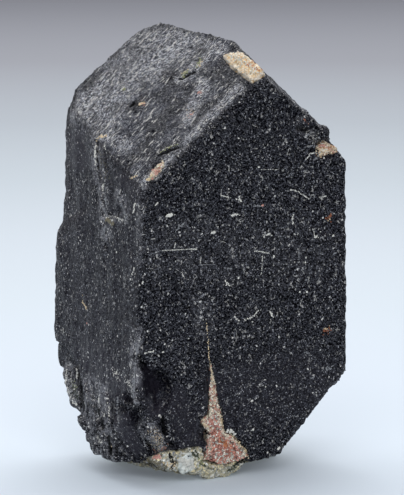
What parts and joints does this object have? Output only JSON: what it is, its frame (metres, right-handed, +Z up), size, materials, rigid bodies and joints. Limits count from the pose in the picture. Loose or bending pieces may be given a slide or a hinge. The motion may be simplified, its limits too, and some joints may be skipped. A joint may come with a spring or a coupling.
{
  "type": "columbite crystal",
  "caption": "Stout black columbite crystal, roofed by pyramid faces and broken below, with feldspar and quartz in its cracks, standing on a flat remnant of matrix",
  "frame": {"origin": "on the resting plane, under the middle of the specimen's box", "axes": "+Z up, along the crystal's length; +X along its broad front face, to the right as the picture shows it; -Y out of the front face"},
  "size_m": [0.0344, 0.0262, 0.0626],
  "materials": {
    "columbite": "black to blue-grey, dull to submetallic, finely granular, pale dust in the pits",
    "pink_feldspar": "salmon pink, matt, granular, with cream grains",
    "cream_feldspar": "cream to straw, matt and sugary",
    "tan_feldspar": "tan, matt and sugary",
    "quartz": "milky white, glassy on its broken faces",
    "matrix": "grey-green to cream albite with mica, matt and crumbly"
  },
  "bodies": {
    "root": {"columbite_crystal": "columbite", "pink_feldspar_wedge": "pink_feldspar", "cream_feldspar_patch": "cream_feldspar", "tan_feldspar_grain": "tan_feldspar", "pink_feldspar_streak": "pink_feldspar", "white_quartz_grain": "quartz", "matrix_crust": "matrix"}
  },
  "joints": []
}
